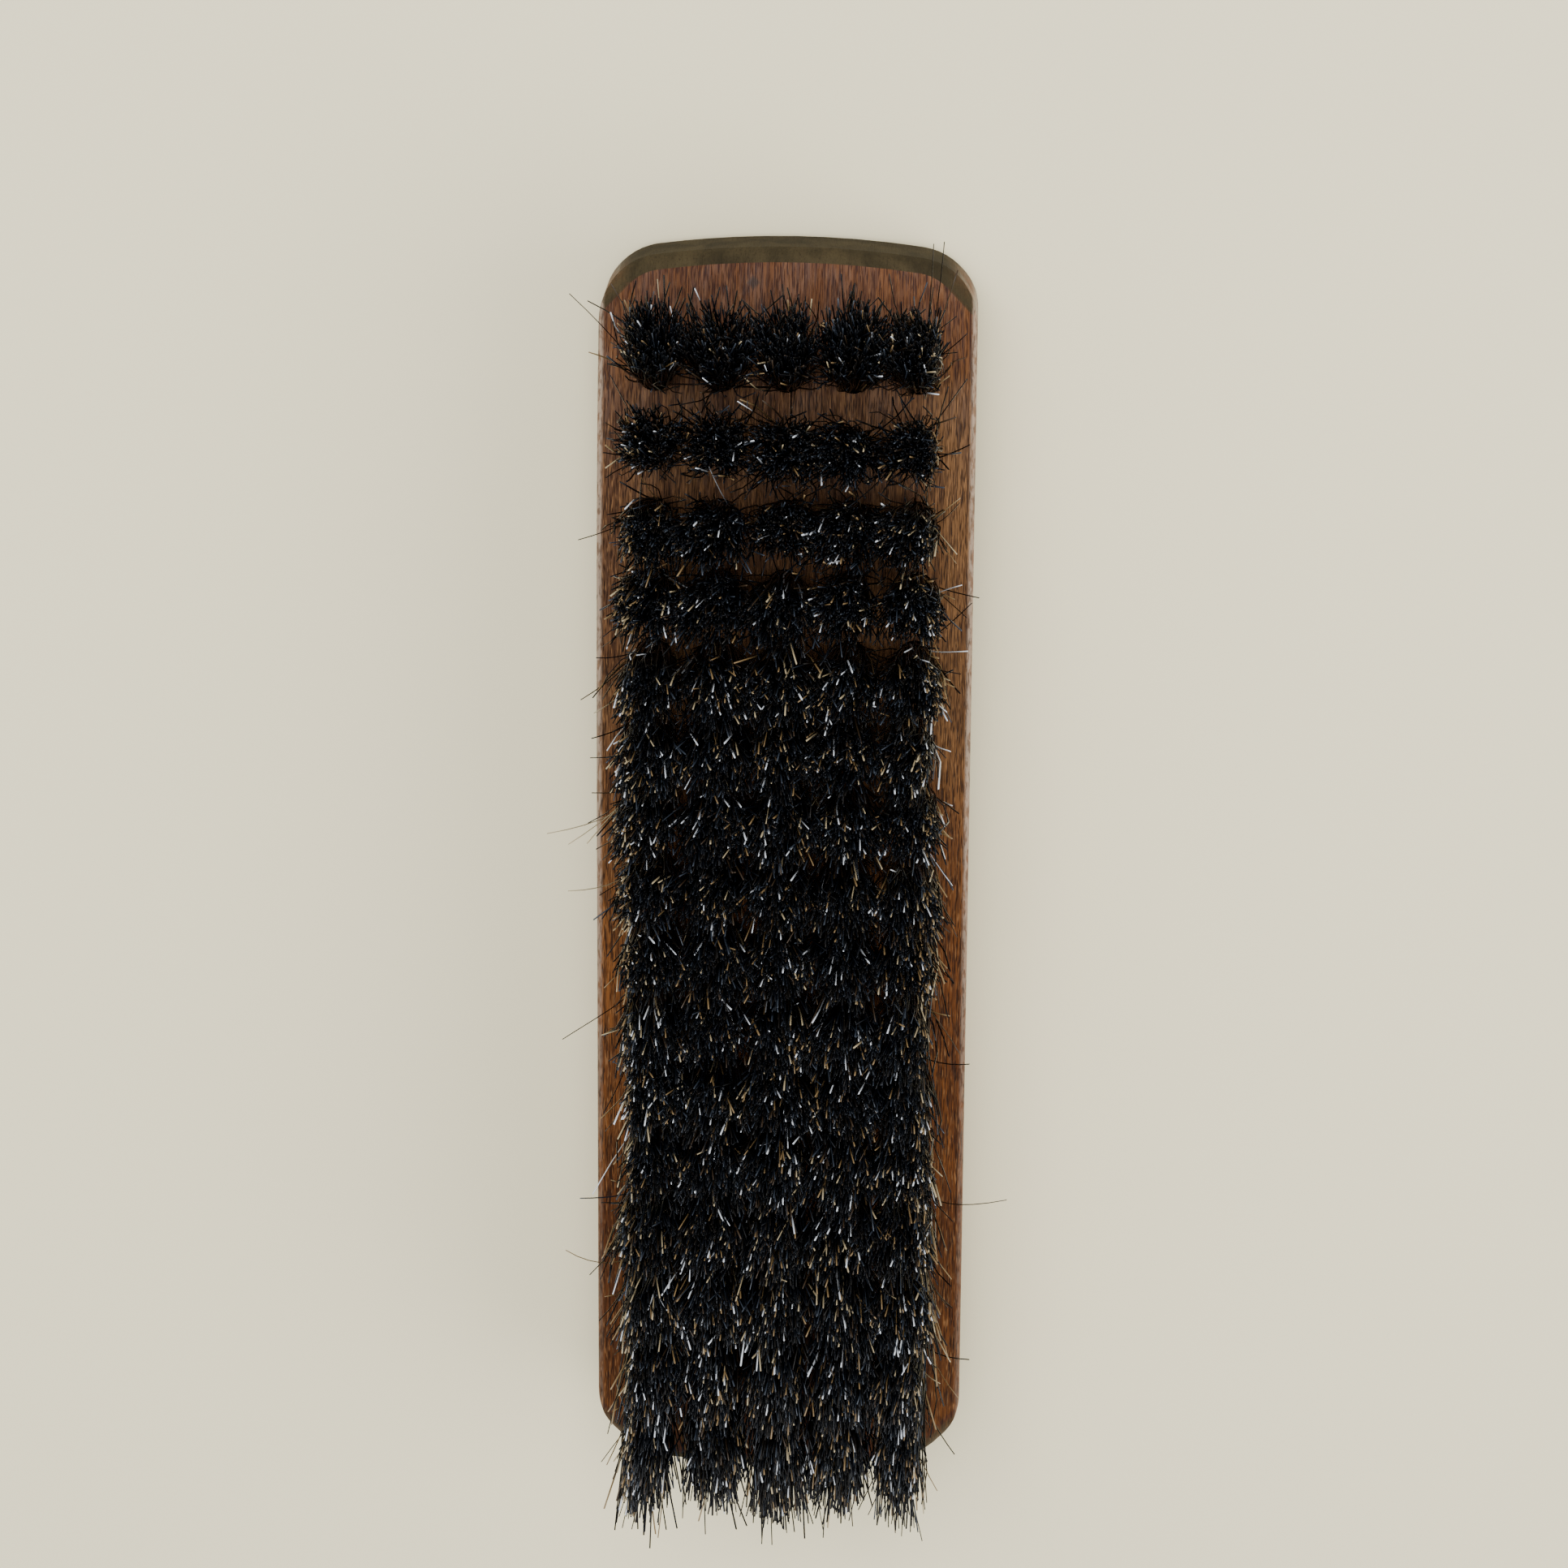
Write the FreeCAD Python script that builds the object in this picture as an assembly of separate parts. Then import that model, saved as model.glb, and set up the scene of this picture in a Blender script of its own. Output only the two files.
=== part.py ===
"""Clothes brush: a wooden block, rows of hair tufts, a wire anchor in the root of each tuft, and a label.

The block is drawn with its long axis along X and its back's bulge touching Z = 0, and the hair points up.
At the end everything is tilted onto the line that the brush rests on when it lies on its back.
"""

import FreeCAD, Part
import math
import os

from FreeCAD import Vector

# ---- driving dimensions, in millimetres and degrees ----

THICK_END = 86.5  # how far each end stands from the drawing's origin
THIN_END = 85.0
WIDTH = 50.0
END_CROWN_RADIUS = 130.0  # the ends bow outward in plan
THICK_CORNER_RADIUS = 11.0  # vertical corners, in plan
THIN_CORNER_RADIUS = 8.5
LONG_EDGE_RADIUS = 0.6  # crisp edges along the sides
END_EDGE_RADIUS = 2.8  # soft edges round the ends, which fade into the crisp ones past the corners

# Side profile: (distance along the block, height), from a little past the thick end to past the thin end.
# The bristle face is a low arch, and the back is an S: a bulge, then a hollow for the hand.
FACE_POINTS = [
    (-91, 18.4),
    (-55, 20.4),
    (-20, 21.9),
    (20, 23.4),
    (45, 23.3),
    (62, 22.0),
    (75, 19.6),
    (91, 15.6),
]
BACK_POINTS = [
    (-91, 2.5),
    (-62, 0.8),
    (-38, 0.0),
    (-15, 1.1),
    (27, 6.0),
    (48, 7.1),
    (68, 6.6),
    (91, 3.2),
]

ROWS = 16
COLUMNS = 5
ROW_PITCH = 9.39
COLUMN_PITCH = 8.7
FIRST_ROW_FROM_THICK_END = 14.6

HOLE_RADIUS = 2.4
HOLE_DEPTH = 8.5
HAIR_STANDOUT = 23.0  # height of the trimmed hair above the face
FAN_RADIUS = 4.2  # radius of a tuft at the trim
END_LEAN = 15.0  # how far the holes nearest the ends lean past square to the face

ANCHOR_LENGTH = 5.8  # longer than the hole is wide, so that both ends bite into the wood
ANCHOR_HEIGHT = 2.0
ANCHOR_THICKNESS = 0.5
FOLD_THICKNESS = 0.8  # hair that passes under the anchor

LABEL_START = 25.0  # from the thick end
LABEL_LENGTH = 67.0
LABEL_WIDTH = 35.0
LABEL_SIDE_OFFSET = 3.0
LABEL_THICKNESS = 0.15
LABEL_CORNER_RADIUS = 1.0

REST_TILT = 2.53  # turns the bulge and the thin end's lower edge onto one level

# ---- values worked out from them ----

HALF_WIDTH = WIDTH / 2
END_SHAPES = {-1: (THICK_END, THICK_CORNER_RADIUS), 1: (THIN_END, THIN_CORNER_RADIUS)}  # by the sign of X
OVERSHOOT = 10.0  # cutting tools reach this far past what they cut
COLLAR = 0.5  # straight part of a tuft above the face, before it fans out
SOFT_GROWTH = 0.03  # how much larger the body is that softens the ends
FLARE_ANGLE = math.pi / 4
FLARE_LENGTH = 28.0


def line(start, end):
    return Part.LineSegment(start, end).toShape()


def joining_lines(upper, lower):
    """Straight edges that join the ends of two curved edges."""
    start = line(upper.valueAt(upper.FirstParameter), lower.valueAt(lower.FirstParameter))
    end = line(upper.valueAt(upper.LastParameter), lower.valueAt(lower.LastParameter))
    return [start, end]


def closed_face(edges):
    return Part.Face(Part.Wire(Part.__sortEdges__(edges)))


def spline(points):
    curve = Part.BSplineCurve()
    curve.interpolate([Vector(x, 0, z) for x, z in points])
    return curve


FACE_CURVE = spline(FACE_POINTS)
BACK_CURVE = spline(BACK_POINTS)


def point_at(curve, x):
    """The point of a nearly level curve at x, and the curve's slope angle there."""
    z = 0.0
    for _ in range(4):
        parameter = curve.parameter(Vector(x, 0, z))
        z = curve.value(parameter).z
    tangent = curve.tangent(parameter)[0]
    return curve.value(parameter), math.atan2(tangent.z, tangent.x)


def side_solid(growth):
    """The side profile, grown by a little at the face and the back, run across well past both sides."""
    face = FACE_CURVE.toShape()
    back = BACK_CURVE.toShape()
    face.translate(Vector(0, 0, growth))
    back.translate(Vector(0, 0, -growth))
    solid = closed_face([face, back] + joining_lines(face, back)).extrude(Vector(0, 2 * WIDTH, 0))
    solid.translate(Vector(0, -WIDTH, 0))
    return solid


def plan_solid(growth, flared):
    """The plan outline, grown by a little, run up well past the face and the back.

    Flared, it leaves the block halfway round each corner and runs outward in a straight line.
    """
    z = -OVERSHOOT
    last_angle = FLARE_ANGLE if flared else math.pi / 2

    def corner(sx):
        """The middle of one end's corners, their radius, and the angle at which its crown meets them."""
        reach, radius = END_SHAPES[sx]
        crown_x = reach - END_CROWN_RADIUS
        y = HALF_WIDTH - radius
        x = crown_x + math.sqrt((END_CROWN_RADIUS - radius) ** 2 - y**2)
        return x, y, radius, math.atan2(y, x - crown_x)

    def on_corner(angle, sx, sy):
        x, y, radius, _ = corner(sx)
        x += (radius + growth) * math.cos(angle)
        y += (radius + growth) * math.sin(angle)
        return Vector(sx * x, sy * y, z)

    def flare_end(sx, sy):
        away = Vector(-sx * math.sin(FLARE_ANGLE), sy * math.cos(FLARE_ANGLE), 0)
        return on_corner(FLARE_ANGLE, sx, sy) + away * FLARE_LENGTH

    edges = []
    for sx in (-1, 1):
        crown = Vector(sx * (END_SHAPES[sx][0] + growth), 0, z)
        meet_angle = corner(sx)[3]
        edges.append(Part.Arc(on_corner(meet_angle, sx, -1), crown, on_corner(meet_angle, sx, 1)).toShape())
        for sy in (-1, 1):
            angles = (meet_angle, (meet_angle + last_angle) / 2, last_angle)
            edges.append(Part.Arc(*(on_corner(a, sx, sy) for a in angles)).toShape())
            if flared:
                edges.append(line(on_corner(FLARE_ANGLE, sx, sy), flare_end(sx, sy)))
    for sy in (-1, 1):
        thick, thin = (flare_end(sx, sy) if flared else on_corner(last_angle, sx, sy) for sx in (-1, 1))
        edges.append(line(thick, thin))
    return closed_face(edges).extrude(Vector(0, 0, 6 * OVERSHOOT))


def rims(solid, reach):
    """The edges where the upright walls meet the face and the back, no further out than reach."""
    walls = [f for f in solid.Faces if abs(f.normalAt(*f.Surface.parameter(f.CenterOfMass)).z) < 0.1]

    def walls_at(edge):
        return sum(any(edge.isSame(e) for e in wall.Edges) for wall in walls)

    return [e for e in solid.Edges if walls_at(e) == 1 and abs(e.CenterOfMass.y) < reach]


def solid_block():
    """The block before drilling. It has crisp long edges, and a slightly larger body softens its ends."""
    crisp = side_solid(0).common(plan_solid(0, False)).Solids[0]
    crisp = crisp.makeFillet(LONG_EDGE_RADIUS, rims(crisp, WIDTH))
    soft = side_solid(SOFT_GROWTH).common(plan_solid(SOFT_GROWTH, True)).Solids[0]
    soft = soft.makeFillet(END_EDGE_RADIUS, rims(soft, HALF_WIDTH + OVERSHOOT))
    return crisp.common(soft).Solids[0]


def tuft_places(row):
    """The placement of each hole in a row: its origin on the face, its Z axis out along the hole."""
    x = -THICK_END + FIRST_ROW_FROM_THICK_END + row * ROW_PITCH
    point, slope = point_at(FACE_CURVE, x)
    lean = -slope + math.radians(END_LEAN) * (x / THIN_END) ** 3
    turn = FreeCAD.Rotation(Vector(0, 1, 0), math.degrees(lean))
    for column in range(COLUMNS):
        y = (column - (COLUMNS - 1) / 2) * COLUMN_PITCH
        yield FreeCAD.Placement(Vector(x, y, point.z), turn)


def hole_shape():
    return Part.makeCylinder(HOLE_RADIUS, HOLE_DEPTH + OVERSHOOT, Vector(0, 0, -HOLE_DEPTH))


def anchor_shape():
    """A short flat wire that lies across the hole near its bottom."""
    corner = Vector(-ANCHOR_THICKNESS / 2, -ANCHOR_LENGTH / 2, FOLD_THICKNESS - HOLE_DEPTH)
    return Part.makeBox(ANCHOR_THICKNESS, ANCHOR_LENGTH, ANCHOR_HEIGHT, corner)


def untrimmed_tuft():
    """A bundle of hair folded round its anchor: a round root, then a fan."""
    top = HAIR_STANDOUT + OVERSHOOT
    top_radius = HOLE_RADIUS + (FAN_RADIUS - HOLE_RADIUS) * (top - COLLAR) / (HAIR_STANDOUT - COLLAR)
    root = [(0, -HOLE_DEPTH), (HOLE_RADIUS, -HOLE_DEPTH), (HOLE_RADIUS, COLLAR)]
    fan = [(top_radius, top), (0, top)]
    corners = [Vector(r, 0, z) for r, z in root + fan]
    profile = Part.Face(Part.makePolygon(corners + corners[:1]))
    return profile.revolve(Vector(0, 0, 0), Vector(0, 0, 1), 360).cut(anchor_shape())


def trim_solid():
    """Everything under the trimmed ends of the hair."""
    trim = FACE_CURVE.toShape()
    trim.translate(Vector(0, 0, HAIR_STANDOUT))
    start = trim.valueAt(trim.FirstParameter)
    end = trim.valueAt(trim.LastParameter)
    outer_start = start + Vector(-2 * OVERSHOOT, 0, 0)
    outer_end = end + Vector(2 * OVERSHOOT, 0, 0)
    low_start = Vector(outer_start.x, 0, -OVERSHOOT)
    low_end = Vector(outer_end.x, 0, -OVERSHOOT)
    corners = [start, outer_start, low_start, low_end, outer_end, end]
    profile = closed_face([trim] + [line(a, b) for a, b in zip(corners, corners[1:])])
    solid = profile.extrude(Vector(0, WIDTH, 0))
    solid.translate(Vector(0, -HALF_WIDTH, 0))
    return solid


def back_label():
    """A thin film that follows the back over the thick half."""
    upper = BACK_CURVE.toShape()
    lower = upper.copy()
    lower.translate(Vector(0, 0, -LABEL_THICKNESS))
    band = closed_face([upper, lower] + joining_lines(upper, lower)).extrude(Vector(0, WIDTH, 0))
    band.translate(Vector(0, -HALF_WIDTH, 0))
    corner = Vector(LABEL_START - THICK_END, LABEL_SIDE_OFFSET - LABEL_WIDTH / 2, -OVERSHOOT)
    outline = Part.makeBox(LABEL_LENGTH, LABEL_WIDTH, 2 * OVERSHOOT, corner)
    uprights = [e for e in outline.Edges if abs(e.tangentAt(e.FirstParameter).z) > 0.9]
    return band.common(outline.makeFillet(LABEL_CORNER_RADIUS, uprights)).Solids[0]


def placed(shape, placement):
    copy = shape.copy()
    copy.Placement = placement
    return copy


def make_parts():
    """Every piece as {node name: shape}, in the drawing position."""
    parts = {}
    cutters = []
    tuft = untrimmed_tuft()
    trim = trim_solid()
    for row in range(ROWS):
        places = list(tuft_places(row))
        tufts = [placed(tuft, place).common(trim) for place in places]
        anchors = [placed(anchor_shape(), place) for place in places]
        cutters += [placed(hole_shape(), place) for place in places] + anchors
        number = "%02d" % (row + 1)
        parts["tuft_row_" + number] = Part.Compound([s for t in tufts for s in t.Solids])
        parts["anchor_row_" + number] = Part.Compound(anchors)
    parts["block"] = solid_block().cut(cutters).Solids[0]
    parts["back_label"] = back_label()
    return parts


def rest_on_back(parts):
    """Tilts all pieces onto the resting line and centres them over the origin."""
    for shape in parts.values():
        shape.rotate(Vector(0, 0, 0), Vector(0, 1, 0), REST_TILT)
    box = Part.Compound(list(parts.values())).optimalBoundingBox(False, False)
    for shape in parts.values():
        shape.translate(Vector(-box.Center.x, -box.Center.y, -box.ZMin))
    return box


def main():
    os.makedirs("parts", exist_ok=True)
    parts = make_parts()
    box = rest_on_back(parts)
    for name, shape in parts.items():
        shape.exportStep("parts/" + name + ".step")
    print("size %.2f x %.2f x %.2f mm" % (box.XLength, box.YLength, box.ZLength))
    print("nodes", len(parts), "solids", sum(len(s.Solids) for s in parts.values()))
    for name in ("block", "back_label", "tuft_row_01", "tuft_row_16", "anchor_row_01"):
        shape = parts[name]
        print(name, "valid", shape.isValid(), "volume %.0f" % shape.Volume)


main()
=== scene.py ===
"""Looks of the clothes brush: its hair, stained wood, label film and wire anchors, in a plain studio."""

import math
from functools import reduce

import bpy
import numpy as np
from mathutils import Matrix, Vector


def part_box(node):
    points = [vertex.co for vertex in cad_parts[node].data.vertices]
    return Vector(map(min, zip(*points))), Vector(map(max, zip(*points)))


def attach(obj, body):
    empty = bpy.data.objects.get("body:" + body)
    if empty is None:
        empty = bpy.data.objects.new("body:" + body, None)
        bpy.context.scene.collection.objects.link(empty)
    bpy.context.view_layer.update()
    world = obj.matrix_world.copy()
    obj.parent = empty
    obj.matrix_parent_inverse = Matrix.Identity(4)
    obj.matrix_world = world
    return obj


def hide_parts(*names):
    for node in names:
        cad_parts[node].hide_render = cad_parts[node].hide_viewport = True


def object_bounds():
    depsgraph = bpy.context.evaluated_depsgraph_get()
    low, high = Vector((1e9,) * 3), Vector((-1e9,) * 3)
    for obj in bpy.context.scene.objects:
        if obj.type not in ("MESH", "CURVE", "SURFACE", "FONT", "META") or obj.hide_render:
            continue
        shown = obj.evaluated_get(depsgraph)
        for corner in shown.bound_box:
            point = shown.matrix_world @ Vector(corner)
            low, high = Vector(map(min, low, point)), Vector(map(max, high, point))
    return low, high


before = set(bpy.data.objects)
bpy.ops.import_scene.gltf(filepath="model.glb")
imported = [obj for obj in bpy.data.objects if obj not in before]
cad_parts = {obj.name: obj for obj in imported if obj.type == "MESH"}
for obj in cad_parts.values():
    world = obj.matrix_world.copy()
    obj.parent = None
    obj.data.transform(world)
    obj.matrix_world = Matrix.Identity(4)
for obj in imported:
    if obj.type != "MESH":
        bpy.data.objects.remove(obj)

CAD_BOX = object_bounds()
MM = 0.001

# ---- the brush's own dimensions, as in part.py ----

HALF_WIDTH = 25 * MM
COLUMNS = 5
MIDDLE_COLUMN = (COLUMNS - 1) / 2
COLUMN_PITCH = 8.7 * MM
HOLE_RADIUS = 2.4 * MM
HOLE_DEPTH = 8.5 * MM
HAIR_HEIGHT = 23 * MM  # about how far it stands above the face

# ---- the hairs of a tuft ----

HAIR_SEED = 1000
HAIRS_PER_TUFT = 520
HAIR_RADIUS = 0.122 * MM
TUBE_SIDES = 3  # so the ends of a hair's tube are triangles
TIP_TAPER = 0.78  # a tip's radius, as a share of its root's
THICKNESS = 0.75, 1.35  # the range of the hairs' radii, as shares of HAIR_RADIUS
ROOT_DEPTH = 2.5 * MM  # how far down its hole each hair starts
ROOT_SPREAD = 0.93  # how near the hole's wall the roots reach, as a share of its radius
LEVELS = np.array([0.0, 0.12, 0.42, 0.74, 1.0])  # where a hair's rings are, from its start to its tip

TIP_REACH = np.array([4.6, 5.5]) * MM  # how far a tuft's hair fans out, along the brush and across it
FAN_RANGE = 0.9, 1.12  # of one tuft, as shares of TIP_REACH
TUFT_SWAY = 0.7 * MM  # how far a whole tuft's tips lean off its axis, this way or that
MOST_SWAY = 1.2 * TUFT_SWAY
WISPS = 15  # bunches that a tuft's hairs gather into
WISP_PULL = 0.72  # the most that a hair is drawn to its bunch, as a share of the way
TIP_SCATTER = 0.45 * MM
APART_SHARE = 0.28  # hairs that stand apart from their bunch
APART_SCATTER = 1.9 * MM
OUTER_REACH = 2.1 * MM  # how far outward the tips of the outer columns stand freely
HELD_IN = 0.72  # the share of what lies beyond OUTER_REACH that they are drawn back
ESCAPED_SHARE = 0.04  # outer hairs that stand out again
THICK_END_ESCAPED_SHARE = 0.05  # more of them at the thick end
ESCAPED_REACH = 0.5 * MM, 3.4 * MM
ESCAPED_ENDWARD = 4 * MM

BELOW_TRIM = 0.7 * MM  # how far below the trim the hairs end, on average
BROKEN_SHARE = 0.12
BROKEN_LENGTH = 7 * MM  # the most that a broken hair has lost
SHORTEST_HAIR = 6 * MM
BEND = 0.5 * MM  # the bow and the kinked tip of a hair

# how far use has splayed the end rows, from where, and over what length
THICK_END_SPLAY = 3.2 * MM, 40 * MM, 32 * MM
THIN_END_SPLAY = 1.6 * MM, 60 * MM, 11 * MM
CLOSING_UP = 80  # how much a splayed tuft narrows across the brush, per metre of splay
SPLAY_LOSS = 10 * MM  # a tip splayed by this much stands lower by as much

# ---- stray hairs ----

STRAYS = 3  # of a tuft in an inner column
OUTER_STRAYS = 4  # of a tuft in an outer column, and as many again at the thin end
THIN_END_ROWS = 55 * MM  # past here the strays are darker, and the outer ones lean over the end
STRAY_HEIGHT = 16 * MM, 23 * MM
STRAY_THICKNESS = 0.7, 1.0
STRAY_LEAN = 3 * MM  # along the brush
STRAY_ENDWARD = 6 * MM
STRAY_DROOP = 0.18  # how much lower a stray's tip hangs, as a share of its lean
STRAY_SCATTER = 1.6 * MM
STRAY_CURL = 1.6 * MM
STRAY_LEVELS = np.linspace(0, 1, 10)

# ---- colours of the hair ----

# name: (share of the shafts, base colour, roughness, specular level)
HAIR_COLOURS = {
    "hair_blue_black": (0.33, (0.0026, 0.0034, 0.0052), 0.22, 0.20),
    "hair_black": (0.28, (0.0014, 0.0014, 0.0015), 0.30, 0.10),
    "hair_brown_black": (0.10, (0.0055, 0.0042, 0.0031), 0.28, 0.16),
    # painted sheen: the slate colour stands for the blue-grey sheen on black hair
    "hair_slate_sheen": (0.13, (0.022, 0.028, 0.038), 0.22, 0.40),
    "hair_dark_brown": (0.055, (0.034, 0.021, 0.011), 0.30, 0.32),
    "hair_tan": (0.026, (0.18, 0.115, 0.048), 0.34, 0.45),
    "hair_straw": (0.020, (0.34, 0.27, 0.155), 0.36, 0.45),
    # the silver colour is partly white hair and partly a painted glint
    "hair_silver_and_glint": (0.027, (0.58, 0.60, 0.63), 0.24, 0.50),
}
BLUE_BLACK, BLACK, BROWN_BLACK, SLATE_SHEEN, DARK_BROWN, TAN, STRAW, SILVER_AND_GLINT = range(len(HAIR_COLOURS))
SHARES = np.array([share for share, _, _, _ in HAIR_COLOURS.values()])
SHARES = SHARES / SHARES.sum()
# the sunned and worn hair along the two sides has more brown, tan, straw and silver
OUTER_SHARES = SHARES * np.array([1, 1, 1, 1, 1.8, 3.8, 3.4, 1.3])
OUTER_SHARES = OUTER_SHARES / OUTER_SHARES.sum()
STRAY_SHARES = [0.12, 0.13, 0.1, 0.05, 0.15, 0.23, 0.12, 0.10]
THIN_END_STRAY_SHARES = [0.24, 0.25, 0.16, 0.08, 0.12, 0.08, 0.03, 0.04]
DARK_TIPS = 0.60  # the share of slate, brown or pale hairs whose tips are black
OUTER_DARK_TIPS = 0.2  # the part of that share that holds for hairs that lean outward
LIGHT_TIPS = 0.03  # the share of tips that turn slate, brown or pale
THICK_END_LIGHT_TIPS = 0.05  # more of them at the thick end
OUTSIDE = 1.5 * MM  # a hair that leans outward by this much has the colours of the two sides
FRINGE = 4 * MM  # one that leans by this much is often brown, tan or straw at the thick end
FRINGE_SHARE = 0.6
DULLED_SHARE = 0.6  # pale hairs that are dark instead at the thin end
PALE_THICKNESS = 1.08  # pale hairs are a little thicker

# ---- colours of the wood, where a pair is the darker and the lighter tone ----

FACE_RED = (0.098, 0.0270, 0.0045), (0.185, 0.062, 0.0115)
# painted sheen: the paler, greyer brown over the thin half of the face
FACE_SHEEN_BROWN = (0.096, 0.0370, 0.0110), (0.175, 0.080, 0.0260)
# painted shade: the darker red towards the thick end
FACE_SHADE_RED = (0.060, 0.0175, 0.0035)
# painted light: a lighter, warmer band near the thin end of the face
FACE_LIGHT_WARM = (0.235, 0.080, 0.0075)
FACE_STREAK = (0.030, 0.0095, 0.0026)
FACE_PORE = (0.013, 0.0046, 0.0018)
FACE_FIBRE = (0.36, 0.175, 0.065)
# painted shade: the dark rim where the face rounds over into the end
FACE_RIM_SHADE = (0.028, 0.0085, 0.0080)
SPOT = (0.022, 0.021, 0.0110)
SIDE_ORANGE = (0.135, 0.040, 0.0095)
SIDE_GREY = (0.078, 0.039, 0.0185)
SIDE_LINE = (0.24, 0.110, 0.048)
SIDE_HATCH = (0.030, 0.010, 0.0055)
SIDE_FLECK = (0.008, 0.006, 0.010)
KNOT = (0.009, 0.005, 0.005)
# the back's olive-brown: partly its own tone, partly a painted reflection of the table
BACK_OLIVE_AND_REFLECTION = (0.060, 0.040, 0.0140), (0.100, 0.070, 0.0270)
BACK_STREAK = (0.026, 0.016, 0.0060)
# the end grain's olive: partly its own darker stain, partly painted shade
END_OLIVE_AND_SHADE = (0.024, 0.0178, 0.0082), (0.055, 0.0400, 0.0185)
END_PORE = (0.014, 0.0090, 0.0040)
# painted shade where the end grain faces sideways or down
END_PAINTED_SHADE = (0.008, 0.0060, 0.0020)
# pale worn edges with a painted highlight
WORN_EDGE_AND_HIGHLIGHT = (0.42, 0.31, 0.22)

SPOT_X, SPOT_Y = 81.7 * MM, 4.6 * MM  # a dark spot on the face
KNOT_X, KNOT_Z = -33 * MM, 12 * MM  # a knot on the sides
KNOT_LENGTH, KNOT_HEIGHT = 7.5 * MM, 3.8 * MM

FLOOR_SIZE = 6  # metres

# ---- camera: above the brush, a little past its thin end ----

CAMERA_PLACE = Vector((0.25365, -0.0250, 0.7584))
CAMERA_TARGET = Vector((0.01455, -0.0001, 0.0200))
CAMERA_ROLL = math.radians(0.41)
LENS = 133.0
SENSOR_WIDTH = 36.0


# ---------------------------------------------------------------- shader helpers


class Graph:
    """A material's node tree, with one short call for each kind of node."""

    def __init__(self, name):
        self.material = bpy.data.materials.new(name)
        self.material.use_nodes = True
        self.tree = self.material.node_tree
        self.shader = self.tree.nodes["Principled BSDF"]
        coordinates = self.tree.nodes.new("ShaderNodeTexCoord")
        self.position = coordinates.outputs["Object"]
        self.normal = coordinates.outputs["Normal"]

    def node(self, kind, **settings):
        node = self.tree.nodes.new(kind)
        for name, value in settings.items():
            setattr(node, name, value)
        return node

    def put(self, value, socket):
        if isinstance(value, bpy.types.NodeSocket):
            self.tree.links.new(value, socket)
        elif isinstance(value, tuple) and len(value) == 3 and socket.type == "RGBA":
            socket.default_value = (*value, 1.0)
        else:
            socket.default_value = value

    def noise(self, size, detail=4.0, roughness=0.5, distortion=0.0, offset=0.0):
        """A noise whose features are about size long along X, Y and Z."""
        mapping = self.node("ShaderNodeMapping")
        self.put(self.position, mapping.inputs["Vector"])
        mapping.inputs["Scale"].default_value = [1 / s for s in size]
        mapping.inputs["Location"].default_value = (offset, 2 * offset, 3 * offset)
        noise = self.node("ShaderNodeTexNoise")
        self.put(mapping.outputs["Vector"], noise.inputs["Vector"])
        noise.inputs["Scale"].default_value = 1.0
        noise.inputs["Detail"].default_value = detail
        noise.inputs["Roughness"].default_value = roughness
        noise.inputs["Distortion"].default_value = distortion
        return noise.outputs["Fac"]

    def steps(self, value, low, high, start=0.0, end=1.0):
        """start at low, end at high, and smooth between them. low may be the larger of the two."""
        node = self.node("ShaderNodeMapRange", interpolation_type="SMOOTHSTEP")
        self.put(value, node.inputs["Value"])
        for name, number in (("From Min", low), ("From Max", high), ("To Min", start), ("To Max", end)):
            node.inputs[name].default_value = number
        return node.outputs["Result"]

    def math(self, operation, a, b=0.0):
        node = self.node("ShaderNodeMath", operation=operation)
        self.put(a, node.inputs[0])
        self.put(b, node.inputs[1])
        return node.outputs["Value"]

    def times(self, *values):
        return reduce(lambda a, b: self.math("MULTIPLY", a, b), values)

    def length(self, a, b):
        return self.math("SQRT", self.math("ADD", self.times(a, a), self.times(b, b)))

    def mix(self, factor, a, b):
        node = self.node("ShaderNodeMix", data_type="RGBA")
        self.put(factor, node.inputs[0])
        self.put(a, node.inputs[6])
        self.put(b, node.inputs[7])
        return node.outputs[2]

    def parts(self, vector):
        node = self.node("ShaderNodeSeparateXYZ")
        self.put(vector, node.inputs["Vector"])
        return node.outputs["X"], node.outputs["Y"], node.outputs["Z"]

    def bump(self, height, distance, normal=None):
        node = self.node("ShaderNodeBump")
        node.inputs["Distance"].default_value = distance
        self.put(height, node.inputs["Height"])
        if normal is not None:
            self.put(normal, node.inputs["Normal"])
        return node.outputs["Normal"]

    def finish(self, **values):
        """Sets the shader's inputs by name and returns the material."""
        for name, value in values.items():
            self.put(value, self.shader.inputs[name.replace("_", " ")])
        return self.material


# ---------------------------------------------------------------- wood


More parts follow.
